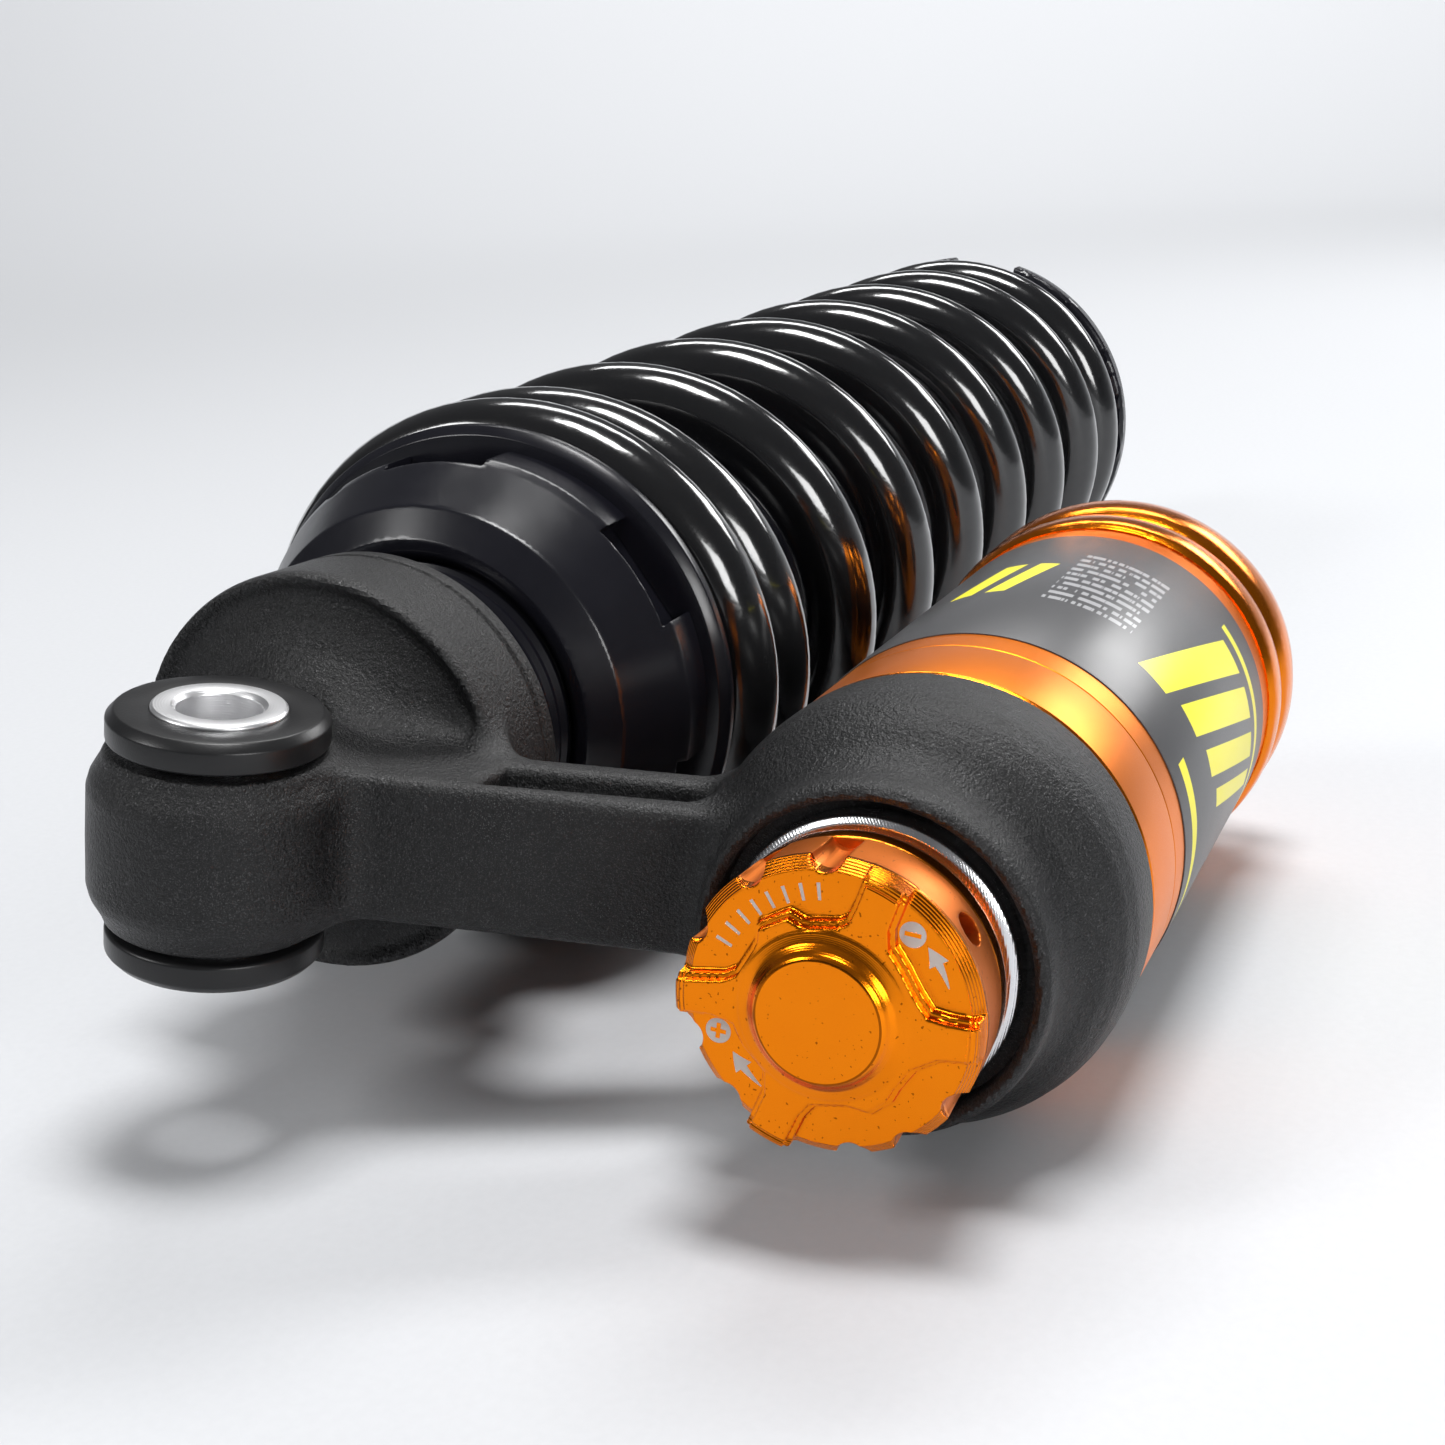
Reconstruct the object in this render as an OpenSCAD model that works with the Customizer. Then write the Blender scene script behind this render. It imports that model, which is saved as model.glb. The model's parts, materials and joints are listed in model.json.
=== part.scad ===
// Coil-over rear shock with a side reservoir, lying on its side at full length.
// X runs along the damper from the upper eye to the lower eye, Z is the upper eye's axis,
// and the reservoir lies beside the damper on the -Y side.

/* [Shock] */
// Distance between the two eyes at full length
eye_to_eye = 290; // [286:1:300]
// Shaft travel
stroke = 75; // [40:1:76]
// Bolt hole through each eye sleeve
bolt_d = 8; // [6:0.5:10]
// Width of the eye hardware between the frame's tabs
hardware_w = 25.4; // [23:0.2:30]

/* [Damper] */
// Outside diameter of the threaded damper tube
tube_d = 35; // [34:0.5:36]
// Bore of the damper tube
tube_bore = 28; // [26:0.5:29]
// Shaft diameter
shaft_d = 12; // [10:0.5:14]
// Pitch of the tube's thread
thread_pitch = 2; // [1.5:0.5:3]

/* [Spring] */
// Outside diameter of the spring
spring_d = 64.2; // [63:0.2:65]
// Wire diameter
wire_d = 9.5; // [8:0.5:10]
// Distance between the coils' centres in the working turns
coil_pitch = 26.4; // [24:0.1:27]
// Number of working turns
coil_turns = 6.5; // [5:0.5:6.5]

/* [Reservoir] */
// Distance from the damper's axis to the reservoir's axis
res_offset = 63; // [62:0.5:66]
// Outside diameter of the reservoir tube
res_d = 42.2; // [41:0.2:43]
// Bore of the reservoir tube
res_bore = 36; // [34:0.5:37]
// Arms on the compression knob's face, as angles around its axis
arm_angles = [0, 72, 180, 252]; // [0:1:360]

/* [Hidden] */

$fn = 96;
eps = 0.01;
run = 0.05;        // radial clearance of a running fit
gap = 0.3;         // free gap between pieces that move past each other

bolt_r = bolt_d / 2;
sleeve_r = 6.35;
bush_r = 7.35;
bush_w = 16;
eye_r = 12;
eye_half = 9;
eye_collar_r = 10.6; // end collars of an eye, under the dust covers
cover_r = 10.35;
cover_x0 = 9.3;    // inner face of a dust cover, from the eye's middle
cover_x1 = 12.3;   // outer face of a dust cover
cord_r = 0.7;      // small O-rings

tube_r = tube_d / 2;
tube_in = tube_bore / 2;
tube_x0 = 22;
tube_x1 = 148;
thread_x0 = 33;
thread_x1 = 76;
shaft_r = shaft_d / 2;
rod_r = 1.95;

drum_x0 = 17.9;
drum_x1 = 31.7;
drum_r = 21;
seam_x = 28.8;

seat_x0 = 55.75;
spring_x0 = 58.6;
spring_r = (spring_d - wire_d) / 2;
wire_r = wire_d / 2;
spring_x1 = spring_x0 + 3 * wire_d + coil_pitch * coil_turns;
retainer_x1 = spring_x1 + 6.4;
lock_x = eye_to_eye - 12.2;   // screw that locks the shaft in the lower eye
screw_r = 1.5;
nut_screw_x = 51.5;
knob_screw_x = -0.5;

piston_x0 = 112;
piston_x1 = 126;
head_x0 = 132;     // inner face of the seal head
head_x1 = 154;     // outer face of the seal head
bump_x0 = head_x1 + stroke + 3;

res_r = res_d / 2;
res_in = res_bore / 2;
res_thread_r = 19.7;
housing_x0 = 5.6;
housing_x1 = 26.75;
cavity_x0 = 20;    // floor of the reservoir's chamber
tube_start_x = 23.5;
recess_r = 15;
recess_x = 9;      // floor of the recess around the knob
tube_end_x = 96.5;
label_x0 = 42.4;
label_x1 = 92;
cap_x1 = 114;

knob_r = 12.5;
knob_face_x = -5.9;
knob_floor_x = -4.4;
boss_x = -7.3;
knob_back_x = 4.6;
stem_r = 4;
ifp_x0 = 62;
ifp_x1 = 76;

function arc(cx, cy, r, a0, a1, n) =
    [for (i = [0:n]) [cx + r * cos(a0 + (a1 - a0) * i / n), cy + r * sin(a0 + (a1 - a0) * i / n)]];

// A turned shape about the damper's axis, from [radius, x] points
module about_x(points) {
    rotate([0, 90, 0]) rotate_extrude() polygon(points);
}

// A plain round bar along X
module bar(r, x0, x1) {
    translate([x0, 0, 0]) rotate([0, 90, 0]) cylinder(r = r, h = x1 - x0);
}

// A plain ring along X
module ring(r_out, r_in, x0, x1) {
    difference() {
        bar(r_out, x0, x1);
        bar(r_in, x0 - 1, x1 + 1);
    }
}

// A round rubber ring about X
module oring(r_mid, r_cord, x) {
    translate([x, 0, 0]) rotate([0, 90, 0]) rotate_extrude() translate([r_mid, 0]) circle(r_cord, $fn = 24);
}

// A grub screw pointing up, with a hexagon socket in its end
module grub_screw(length) {
    difference() {
        cylinder(r = screw_r, h = length);
        translate([0, 0, length - 1.5]) cylinder(r = 0.8, h = 3, $fn = 6);
    }
}

module at_reservoir() {
    translate([0, -res_offset, 0]) children();
}

module at_lower_eye() {
    translate([eye_to_eye, 0, 0]) children();
}

// Eye barrel about Z, widest in the middle, with a sloped shoulder up to each end collar
module eye_barrel() {
    edge = 0.8;
    shoulder = 3.4;
    rotate_extrude() polygon(concat(
        [[0, -eye_half]],
        arc(eye_collar_r - edge, -eye_half + edge, edge, -90, 0, 4),
        [[eye_r, -eye_half + shoulder], [eye_r, eye_half - shoulder]],
        arc(eye_collar_r - edge, eye_half - edge, edge, 0, 90, 4),
        [[0, eye_half]]));
}

// Oil drilling between two points in the XY plane
module drilling(a, b, r) {
    translate([a[0], a[1], 0]) rotate([0, 90, atan2(b[1] - a[1], b[0] - a[0])])
        cylinder(r = r, h = norm(b - a));
}

module bridge_outline() {
    polygon([[1, -6], [3.5, -14], [5.5, -20], [13.5, -45], [16, -52], [26, -52],
        [25, -43], [18, -24], [20, -16], [20, -4]]);
}

// Channels in the bridge's top and bottom
module bridge_channel(z0, z1) {
    translate([0, 0, z0]) linear_extrude(z1 - z0)
        polygon([[9.2, -23], [17.6, -44], [20.4, -43], [13.6, -23.5]]);
}

module housing_solid() {
    at_reservoir() about_x(concat(
        [[0, housing_x0 + 1]],
        [[15.2, housing_x0 + 0.2], [15.8, housing_x0], [16.6, 6.3], [16.8, 7.6], [16.9, 9.4], [17.6, 10.2]],
        arc(13.2, 20, 8, -56, 0, 8),
        [[21.2, housing_x1], [0, housing_x1]]));
}

module head_solid() {
    eye_barrel();
    about_x([[0, 4], [8.2, 6], [8.8, 10], [10.6, 13.4], [13.6, 15.8], [17.4, 17.2], [19.8, drum_x0],
        [20.7, 18.6], [drum_r, 20], [20.6, seam_x], [20.3, seam_x + 0.1], [20.3, seam_x + 0.5],
        [20.55, seam_x + 0.6], [20.4, drum_x1 - 0.5], [19.9, drum_x1], [0, drum_x1]]);
    translate([0, 0, -7.4]) linear_extrude(14.8) bridge_outline();
    housing_solid();
}

module head_casting() {
    color([0.05, 0.05, 0.055]) difference() {
        head_solid();
        translate([0, 0, -20]) cylinder(r = bush_r, h = 40);
        for (end = [-1, 1])
            translate([0, 0, end * (eye_half + 10) - 10]) cylinder(r = eye_r + 2, h = 20);
        bar(tube_r, tube_x0, 40);
        bridge_channel(5, 8);
        bridge_channel(-8, -5);
        at_reservoir() {
            bar(recess_r, 0, recess_x);
            bar(11, 0, 30);
            bar(res_in, cavity_x0, 30);
            bar(res_thread_r, cavity_x0 + 2, 30);
        }
        drilling([tube_x0 + 1, -11], [12.8, -28], 2.4);
        drilling([14, -26], [cavity_x0 + 1, -47.5], 1.9);
    }
}

// Eye hardware, shared by both ends
module eye_bush() {
    translate([0, 0, -bush_w / 2]) difference() {
        cylinder(r = bush_r, h = bush_w);
        translate([0, 0, -1]) cylinder(r = sleeve_r + run, h = bush_w + 2);
    }
}

module eye_sleeve() {
    chamfer = 0.5;
    half = hardware_w / 2;
    difference() {
        rotate_extrude() polygon([[0, -half], [sleeve_r - chamfer, -half],
            [sleeve_r, -half + chamfer], [sleeve_r, half - chamfer],
            [sleeve_r - chamfer, half], [0, half]]);
        translate([0, 0, -half - 1]) cylinder(r = bolt_r, h = hardware_w + 2);
    }
}

module eye_cover() {
    bevel = 1;
    difference() {
        rotate_extrude() polygon([[0, cover_x0], [cover_r - 0.4, cover_x0], [cover_r, cover_x0 + 0.4],
            [cover_r, cover_x1 - bevel], [cover_r - bevel, cover_x1], [0, cover_x1]]);
        translate([0, 0, cover_x0 - 1]) cylinder(r = sleeve_r, h = 6);
        translate([0, 0, cover_x0 - 1]) cylinder(r = sleeve_r + 2 * cord_r, h = 1 + 2 * cord_r);
    }
}

module cover_orings() {
    for (end = [-1, 1])
        translate([0, 0, end * (cover_x0 + cord_r)])
            rotate_extrude() translate([sleeve_r + cord_r + 0.02, 0]) circle(cord_r - 0.03, $fn = 24);
}

module upper_bush() { color([0.45, 0.42, 0.36]) eye_bush(); }
module upper_sleeve() { color([0.8, 0.8, 0.82]) eye_sleeve(); }
module upper_cover_top() { color([0.06, 0.06, 0.06]) eye_cover(); }
module upper_cover_bottom() { color([0.06, 0.06, 0.06]) mirror([0, 0, 1]) eye_cover(); }
module upper_cover_orings() { color([0.02, 0.02, 0.02]) cover_orings(); }
module lower_bush() { color([0.45, 0.42, 0.36]) at_lower_eye() eye_bush(); }
module lower_sleeve() { color([0.8, 0.8, 0.82]) at_lower_eye() eye_sleeve(); }
module lower_cover_top() { color([0.06, 0.06, 0.06]) at_lower_eye() eye_cover(); }
module lower_cover_bottom() { color([0.06, 0.06, 0.06]) at_lower_eye() mirror([0, 0, 1]) eye_cover(); }
module lower_cover_orings() { color([0.02, 0.02, 0.02]) at_lower_eye() cover_orings(); }

// Damper tube, with its thread drawn as ring grooves
module damper_tube() {
    depth = 0.6;
    turns = floor((thread_x1 - thread_x0) / thread_pitch);
    groove = [[tube_r - depth, 0.4], [tube_r - depth, 0.6], [tube_r, 1], [tube_r, 1.4]];
    color([0.12, 0.12, 0.13]) difference() {
        about_x(concat(
            [[tube_in, tube_x0], [tube_r, tube_x0], [tube_r, thread_x0]],
            [for (i = [0:turns - 1], p = groove)
                [p[0], thread_x0 + i * thread_pitch + p[1] * thread_pitch / 2 + 0.3]],
            [[tube_r, tube_x1], [tube_in, tube_x1]]));
        ring(tube_r + 1, 16.6, tube_x0 + 3, tube_x0 + 4.6);
    }
}

module tube_oring() { color([0.02, 0.02, 0.02]) oring(17.02, 0.4, tube_x0 + 3.8); }

module seal_head() {
    flange_x = 148;
    color([0.7, 0.7, 0.72]) difference() {
        about_x([[0, head_x0], [tube_in - 0.6, head_x0], [tube_in, head_x0 + 0.6], [tube_in, flange_x],
            [tube_r - 0.1, flange_x], [tube_r - 0.1, head_x1 - 0.8],
            [tube_r - 0.9, head_x1], [0, head_x1]]);
        bar(shaft_r + 0.4, head_x0 - 1, head_x1 + 1);
        bar(shaft_r + 1.5, head_x0 - 1, head_x0 + 11);
        bar(shaft_r + 3, head_x0 + 12.5, head_x0 + 16);
        bar(shaft_r + 3, head_x1 - 4, head_x1 + 1);
        ring(tube_in + 1, tube_in - 1.5, 139, 141);
    }
}

module seal_head_oring() { color([0.02, 0.02, 0.02]) oring(tube_in - 0.78, 0.7, 140); }

module shaft_bush() {
    color([0.45, 0.42, 0.36]) ring(shaft_r + 1.5, shaft_r + run, head_x0 + 0.5, head_x0 + 10.5);
}

module shaft_seal() {
    color([0.1, 0.1, 0.1]) ring(shaft_r + 3, shaft_r + run, head_x0 + 12.6, head_x0 + 15.9);
}

module shaft_wiper() {
    color([0.04, 0.04, 0.04]) difference() {
        about_x([[0, head_x1 - 4], [shaft_r + 3, head_x1 - 4], [shaft_r + 3, head_x1],
            [shaft_r + 2, head_x1 + 1], [shaft_r + 0.8, head_x1 + 2], [0, head_x1 + 2]]);
        bar(shaft_r + run, head_x1 - 5, head_x1 + 3);
    }
}

// Helix of the spring: closed end turns with the wire touching, working turns between
spring_sides = 10;
steps_per_turn = 24;
total_turns = coil_turns + 2;
blend = 0.35;      // part of a turn in which the pitch changes
function ramp(t) = t <= 0 ? 0 : t >= blend ? t - blend / 2 : t * t / (2 * blend);
function helix_x(t) = spring_x0 + wire_r + wire_d * t
    + (coil_pitch - wire_d) * (ramp(t - 1) - ramp(t - 1 - coil_turns));
function helix_point(t, k) =
    let (turn = 90 + 360 * (t - 1), side = 360 * k / spring_sides, r = spring_r + wire_r * cos(side) * 0.99)
    [helix_x(t) + wire_r * 0.99 * sin(side), r * cos(turn), r * sin(turn)];

module spring() {
    rings = total_turns * steps_per_turn;
    points = [for (i = [0:rings], k = [0:spring_sides - 1]) helix_point(i / steps_per_turn, k)];
    sides = [for (i = [0:rings - 1], k = [0:spring_sides - 1])
        let (a = i * spring_sides, b = a + spring_sides, n = (k + 1) % spring_sides)
        [a + k, b + k, b + n, a + n]];
    start = [for (k = [0:spring_sides - 1]) k];
    end = [for (k = [spring_sides - 1:-1:0]) rings * spring_sides + k];
    color([0.03, 0.03, 0.03]) polyhedron(points, concat([start, end], sides), convexity = 20);
}

// Reservoir
module reservoir_tube() {
    color([0.95, 0.45, 0.05]) at_reservoir() about_x([
        [res_in, tube_start_x], [res_thread_r, tube_start_x], [res_thread_r, housing_x1],
        [res_r - 0.3, housing_x1], [res_r, housing_x1 + 0.4], [res_r, tube_end_x], [res_in, tube_end_x]]);
}

module reservoir_oring() { color([0.02, 0.02, 0.02]) at_reservoir() oring(18.9, 0.7, tube_start_x - 0.75); }

module reservoir_label() {
    color([0.16, 0.16, 0.17]) at_reservoir() ring(res_r + 0.15, res_r, label_x0, label_x1);
}

module reservoir_cap() {
    color([0.95, 0.45, 0.05]) at_reservoir() difference() {
        about_x(concat(
            [[0, 88], [res_in - 0.5, 88], [res_in, 88.5], [res_in, tube_end_x], [res_r, tube_end_x]],
            [[res_r + 0.4, 97], [22, 98], [22.1, 100], [22, 102], [21.3, 103], [20.9, 103.4],
                [20.9, 104.2]],
            [[21.6, 104.8], [22.1, 105.8], [22.3, 108]],
            arc(18.3, 110, 4, 0, 90, 8),
            [[0, cap_x1]]));
        bar(15, 80, 97);
        bar(8, 106, 120);
        bar(4, 80, 120);
        ring(res_in + 1, res_in - 1.5, 91, 93);
        for (a = [0:60:300])
            rotate([a, 0, 0]) translate([110, 0, 13.5]) rotate([0, 90, 0]) cylinder(r = 1.6, h = 6);
    }
}

module cap_oring() { color([0.02, 0.02, 0.02]) at_reservoir() oring(res_in - 0.78, 0.7, 92); }

module fill_valve() {
    color([0.75, 0.72, 0.6]) at_reservoir() difference() {
        union() {
            bar(4, 96, 112);
            bar(6, 94.5, 96.99);
        }
        bar(1.5, 90, 120);
    }
}

module valve_core() { color([0.8, 0.7, 0.4]) at_reservoir() { bar(1.5, 98, 108); bar(0.7, 108, 111.5); } }

module valve_cap() {
    color([0.04, 0.04, 0.04]) at_reservoir() difference() {
        union() {
            bar(6, 106.2, 112.6);
            about_x([[0, 112.6], [6, 112.6], [5.2, 113.5], [0, 113.5]]);
        }
        bar(4, 100, 112.2);
        for (a = [0:30:330])
            rotate([a, 0, 0]) translate([105, 0, 6.3]) rotate([0, 90, 0]) cylinder(r = 0.6, h = 6.5);
    }
}

// Compression adjuster, fixed pieces
module adjuster_body() {
    color([0.85, 0.38, 0.05]) at_reservoir() difference() {
        union() {
            bar(stem_r, -3, 36);
            bar(12.4, 4.9, 6);
            bar(10.98, 5.5, cavity_x0);
            bar(5, 19, 39);
        }
        bar(rod_r + run, -4, 34);
        translate([24, 0, -10]) cylinder(r = 1.2, h = 20);
        for (s = [-1, 1]) translate([4, s * 8, 0]) rotate([0, 90, 0]) cylinder(r = 1.2, h = 3.4);
        ring(12, 9.4, 14, 16);
    }
}

module adjuster_bezel() {
    color([0.85, 0.85, 0.87]) at_reservoir() difference() {
        about_x([[0, 6], [13, 6], [13.6, 6.5], [13.7, 7], [13.7, recess_x], [0, recess_x]]);
        bar(11, 0, 12);
    }
}

module adjuster_oring() { color([0.02, 0.02, 0.02]) at_reservoir() oring(10.2, 0.75, 15); }
module detent_balls() {
    ball_x = 5.95;
    ball_y = 8;
    color([0.8, 0.8, 0.82]) at_reservoir() for (side = [-1, 1])
        translate([ball_x, side * ball_y, 0]) sphere(r = 1.15, $fn = 32);
}

module base_valve_piston() {
    color([0.7, 0.7, 0.72]) at_reservoir() difference() {
        bar(res_in - 0.02, 28, 34);
        bar(5, 20, 40);
        for (a = [0:60:300])
            rotate([a, 0, 0]) translate([20, 0, 11]) rotate([0, 90, 0]) cylinder(r = 1.6, h = 20);
    }
}

module base_valve_shims() {
    color([0.6, 0.6, 0.62]) at_reservoir() {
        for (i = [0:3]) ring(14 - 2 * i, 5, 34 + 0.3 * i, 34.25 + 0.3 * i);
        ring(14, 5, 27.7, 28);
    }
}

module base_valve_nut() { color([0.7, 0.7, 0.72]) at_reservoir() ring(7.5, 5, 35.3, 38.5); }

// Preload adjuster
module spring_seat() {
    color([0.08, 0.08, 0.08]) difference() {
        about_x([[0, seat_x0], [29, seat_x0], [29.9, seat_x0 + 1.2], [29.9, spring_x0 - 0.5],
            [29.4, spring_x0 - 0.1], [0, spring_x0 - 0.1]]);
        bar(tube_r + run, seat_x0 - 1, spring_x0 + 1);
    }
}

module preload_nut() {
    notches = 6;
    color([0.07, 0.07, 0.08]) difference() {
        about_x([[0, 40], [20.2, 40], [23.4, 42.2], [27.2, 49.6], [27.5, 50.5],
            [27.5, seat_x0 - run], [0, seat_x0 - run]]);
        bar(tube_r + run, 30, 70);
        about_x([[0, 39], [19.6, 39], [tube_r, 41.2], [0, 41.2]]);
        for (i = [0:notches - 1]) rotate([i * 360 / notches + 18, 0, 0])
            translate([49.5, 24.6, -6.2]) cube([10, 5, 12.4]);
        rotate([48, 0, 0]) translate([nut_screw_x, 0, 0]) rotate([-90, 0, 0]) cylinder(r = screw_r, h = 30);
    }
}

module preload_nut_screw() {
    color([0.3, 0.3, 0.32]) rotate([48, 0, 0]) translate([nut_screw_x, tube_r + 0.4, 0])
        rotate([-90, 0, 0]) grub_screw(8.5);
}

// Moving shaft
module shaft() {
    color([0.85, 0.85, 0.87]) difference() {
        union() {
            bar(shaft_r, piston_x1, eye_to_eye - 14);
            bar(4, 104, piston_x1 + eps);
        }
        bar(rod_r + run, 100, 300);
        translate([piston_x1 + 4, 0, -10]) cylinder(r = 1.2, h = 20);
    }
}

module piston() {
    color([0.7, 0.7, 0.72]) difference() {
        bar(13.6, piston_x0, piston_x1 - 2);
        bar(4, 100, 130);
        ring(15, 12.6, 115, 121);
        for (a = [0:60:300])
            rotate([a, 0, 0]) translate([100, 0, 8.8]) rotate([0, 90, 0]) cylinder(r = 1.3, h = 30);
    }
}

module piston_band() { color([0.5, 0.35, 0.2]) ring(tube_in - run, 12.6, 115.05, 120.95); }

// Thin discs that bend off the piston's ports, largest against the piston
module shim_stack(x, way) {
    thick = 0.35;
    step = 0.4;
    for (i = [0:3]) {
        x0 = x + way * step * i - (way < 0 ? thick : 0);
        ring(11 - 1.5 * i, 4, x0, x0 + thick);
    }
}

module compression_shims() { color([0.6, 0.6, 0.62]) shim_stack(piston_x1 - 2, 1); }
module rebound_shims() { color([0.6, 0.6, 0.62]) shim_stack(piston_x0, -1); }

module piston_nut() {
    color([0.6, 0.6, 0.62]) difference() {
        translate([106, 0, 0]) rotate([0, 90, 0]) cylinder(r = 7.5, h = 4.4, $fn = 6);
        bar(4, 100, 120);
    }
}

module topout_bumper() { color([0.2, 0.2, 0.2]) ring(9, shaft_r, 126.5, 130); }

module bump_stop() {
    length = 20;
    color([0.9, 0.85, 0.7]) difference() {
        about_x(concat([[0, bump_x0], [7.5, bump_x0]],
            arc(8, bump_x0 + 4, 3, -60, 60, 6), arc(8.6, bump_x0 + 12, 3, -60, 60, 6),
            [[10, bump_x0 + 16], [10.5, bump_x0 + length], [0, bump_x0 + length]]));
        bar(shaft_r, bump_x0 - 1, bump_x0 + length + 1);
    }
}

module bump_cup() {
    color([0.1, 0.1, 0.1]) difference() {
        about_x([[0, bump_x0 + 20], [12.5, bump_x0 + 20], [13, spring_x1 + 0.1], [0, spring_x1 + 0.1]]);
        bar(shaft_r, 200, 300);
    }
}

// Slotted seat that clips round the shaft
module lower_retainer() {
    x0 = spring_x1 + 0.1;
    color([0.06, 0.06, 0.065]) difference() {
        about_x([[0, x0], [31, x0], [31.6, x0 + 0.6], [31.6, x0 + 3], [29, retainer_x1],
            [0, retainer_x1]]);
        bar(shaft_r, x0 - 1, retainer_x1 + 1);
        translate([x0 - 1, -shaft_r, 0]) cube([20, shaft_r * 2, 40]);
    }
}

module lower_eye() {
    x0 = retainer_x1;
    color([0.05, 0.05, 0.055]) difference() {
        union() {
            at_lower_eye() eye_barrel();
            about_x([[0, x0], [14.5, x0], [15, x0 + 0.5], [15, x0 + 3], [9, x0 + 3.4],
                [9, eye_to_eye - 14.5], [12, eye_to_eye - 14],
                [11, eye_to_eye - 4], [0, eye_to_eye - 4]]);
        }
        at_lower_eye() for (end = [-1, 1])
            translate([0, 0, end * (eye_half + 10) - 10]) cylinder(r = eye_r + 3, h = 20);
        at_lower_eye() translate([0, 0, -20]) cylinder(r = bush_r, h = 40);
        bar(shaft_r, x0 - 5, eye_to_eye - 14);
        translate([lock_x, 0, 0]) rotate([90, 0, 0]) cylinder(r = screw_r, h = 20);
    }
}

module eye_lock_screw() {
    color([0.3, 0.3, 0.32]) translate([lock_x, -2, 0]) rotate([90, 0, 0]) grub_screw(8.5);
}

module rebound_knob() {
    x0 = retainer_x1 + 3.8;
    x1 = eye_to_eye - 15;
    color([0.85, 0.15, 0.1]) difference() {
        about_x([[0, x0], [12.6, x0], [13.2, x0 + 0.6], [13.2, x1 - 0.6], [12.6, x1], [0, x1]]);
        bar(9 + run, x0 - 5, x1 + 5);
        for (a = [0:20:340])
            rotate([a, 0, 0]) translate([x0 - 5, 0, 13.9]) rotate([0, 90, 0]) cylinder(r = 1.2, h = 20);
    }
}

module rebound_rod() {
    color([0.8, 0.8, 0.82]) union() {
        bar(rod_r, 118, eye_to_eye - 16);
        about_x([[0, 112], [0.6, 112], [rod_r, 118], [0, 118]]);
    }
}

// Compression knob: turned body with a centre boss, pockets between four arms and a scalloped rim
module knob_pocket(from, to) {
    floor_z = knob_floor_x;
    translate([floor_z - 4, 0, 0]) rotate([0, 90, 0]) linear_extrude(4)
        polygon(concat([[0, 0]], [for (i = [0:12]) let (a = from + (to - from) * i / 12)
            [-20 * sin(a), -20 * cos(a)]]));
}

module comp_knob() {
    arm_half = 13;
    n = len(arm_angles);
    color([0.95, 0.45, 0.05]) at_reservoir() difference() {
        about_x([[0, boss_x], [5.8, boss_x], [6.1, -7], [7.6, -6.1], [8.2, knob_face_x],
            [knob_r + 0.6, knob_face_x], [13.3, -5.4], [13.5, -3.5], [13.1, 2.2],
            [13.1, knob_back_x], [0, knob_back_x]]);
        bar(stem_r + run, -3.2, 10);
        for (i = [0:n - 1]) difference() {
            knob_pocket(arm_angles[i] + arm_half, (i < n - 1 ? arm_angles[i + 1] : 360) - arm_half);
            bar(8.8, -20, 10);
        }
        for (a = [20:30:350])
            rotate([a, 0, 0]) translate([-8, 0, 14.6]) rotate([0, 90, 0]) cylinder(r = 1.7, h = 10);
        rotate([40, 0, 0]) translate([knob_screw_x, 0, 0]) rotate([90, 0, 0]) cylinder(r = screw_r, h = 20);
    }
}

module knob_screw() {
    color([0.3, 0.3, 0.32]) at_reservoir() rotate([40, 0, 0])
        translate([knob_screw_x, -stem_r - 0.4, 0]) rotate([90, 0, 0]) grub_screw(6);
}

module comp_needle() {
    color([0.8, 0.8, 0.82]) at_reservoir() {
        bar(rod_r, -2.9, 20);
        about_x([[0, 20], [rod_r, 20], [0.5, 26], [0, 26]]);
    }
}

// Floating piston between oil and gas
module floating_piston() {
    color([0.7, 0.7, 0.72]) at_reservoir() difference() {
        bar(res_in - gap, ifp_x0, ifp_x1);
        bar(14, ifp_x0 + 4, ifp_x1 + 1);
        ring(res_in + 1, res_in - 1.6, ifp_x0 + 2, ifp_x0 + 4);
        ring(res_in + 1, res_in - 1.1, ifp_x0 + 8, ifp_x0 + 12);
    }
}

module floating_piston_oring() {
    color([0.02, 0.02, 0.02]) at_reservoir() oring(res_in - 0.83, 0.75, ifp_x0 + 3);
}

module floating_piston_band() {
    color([0.5, 0.35, 0.2]) at_reservoir() ring(res_in - run, res_in - 1.1, ifp_x0 + 8.05, ifp_x0 + 11.95);
}

head_casting();
upper_bush();
damper_tube();
tube_oring();
seal_head();
seal_head_oring();
shaft_bush();
shaft_seal();
shaft_wiper();
spring();
reservoir_tube();
reservoir_oring();
reservoir_label();
reservoir_cap();
cap_oring();
fill_valve();
valve_core();
valve_cap();
adjuster_body();
adjuster_bezel();
adjuster_oring();
detent_balls();
base_valve_piston();
base_valve_shims();
base_valve_nut();
upper_sleeve();
upper_cover_top();
upper_cover_bottom();
upper_cover_orings();
spring_seat();
preload_nut();
preload_nut_screw();
shaft();
piston();
piston_band();
compression_shims();
rebound_shims();
piston_nut();
topout_bumper();
bump_stop();
bump_cup();
lower_retainer();
lower_eye();
eye_lock_screw();
lower_bush();
lower_sleeve();
lower_cover_top();
lower_cover_bottom();
lower_cover_orings();
rebound_knob();
rebound_rod();
comp_knob();
knob_screw();
comp_needle();
floating_piston();
floating_piston_oring();
floating_piston_band();
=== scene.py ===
import json
import math
import bpy
import numpy as np
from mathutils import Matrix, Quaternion, Vector


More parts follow.
